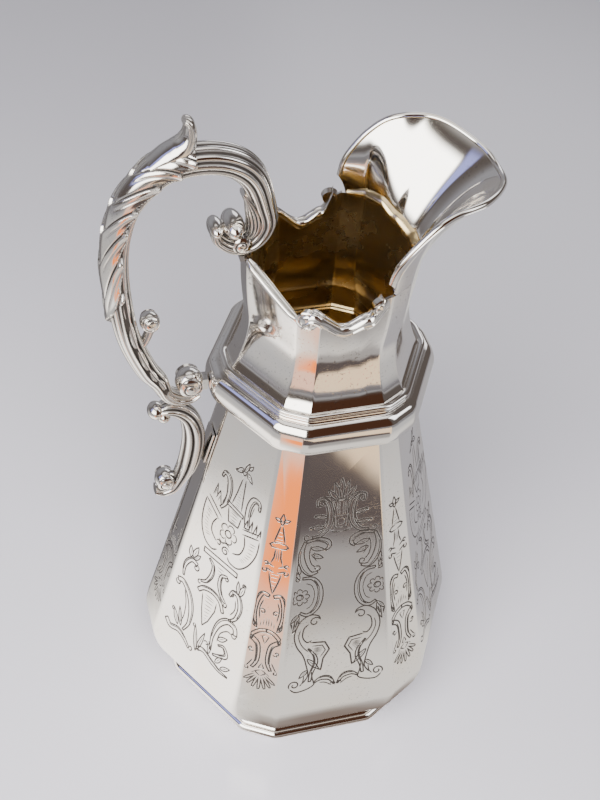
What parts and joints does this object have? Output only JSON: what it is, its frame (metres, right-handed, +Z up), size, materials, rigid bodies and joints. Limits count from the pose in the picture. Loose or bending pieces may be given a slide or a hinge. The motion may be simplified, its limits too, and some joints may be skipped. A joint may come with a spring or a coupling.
{
  "type": "water pitcher",
  "caption": "Twelve-sided tapered silver water pitcher with engraved panels, belted neck, scooped spout, gilt inside and a leafy scroll handle.",
  "frame": {"origin": "middle of the whole pitcher's footprint, on the plane that the foot stands on; the vessel's own axis is 7.16 mm towards +X from it", "axes": "+Z up along the vessel's axis, +X towards the spout, -X towards the handle, +Y across; the pitcher is symmetric about the XZ plane"},
  "size_m": [0.135, 0.1128, 0.2624],
  "materials": {
    "polished_silver": "polished sterling sheet with fine handling scratches, engraved on the body",
    "cast_silver": "cast and chased silver, bright on the high parts and dark with oxide in the recesses",
    "gilt_lining": "worn gilding on the inside, dull and brownish"
  },
  "bodies": {
    "root": {"foot_ring": "polished_silver", "foot_edge_moulding": "polished_silver", "body_shell": "polished_silver", "belt_moulding": "polished_silver", "belt_bead": "polished_silver", "neck_shell": "polished_silver", "rim_moulding_far": "polished_silver", "rim_moulding_near": "polished_silver", "rim_scroll_far": "polished_silver", "rim_scroll_near": "polished_silver", "spout": "polished_silver", "spout_lip_wire": "polished_silver", "base_plate": "gilt_lining", "handle_main_scroll": "cast_silver", "handle_leaf": "cast_silver", "thumb_spur": "cast_silver", "handle_sprig": "cast_silver", "handle_end_ball": "cast_silver", "volute_rosette": "cast_silver", "upper_saddle": "cast_silver", "belt_lug": "cast_silver", "lower_scroll": "cast_silver", "lower_scroll_curl": "cast_silver", "lower_scroll_ball": "cast_silver", "lower_pad": "cast_silver"}
  },
  "joints": []
}
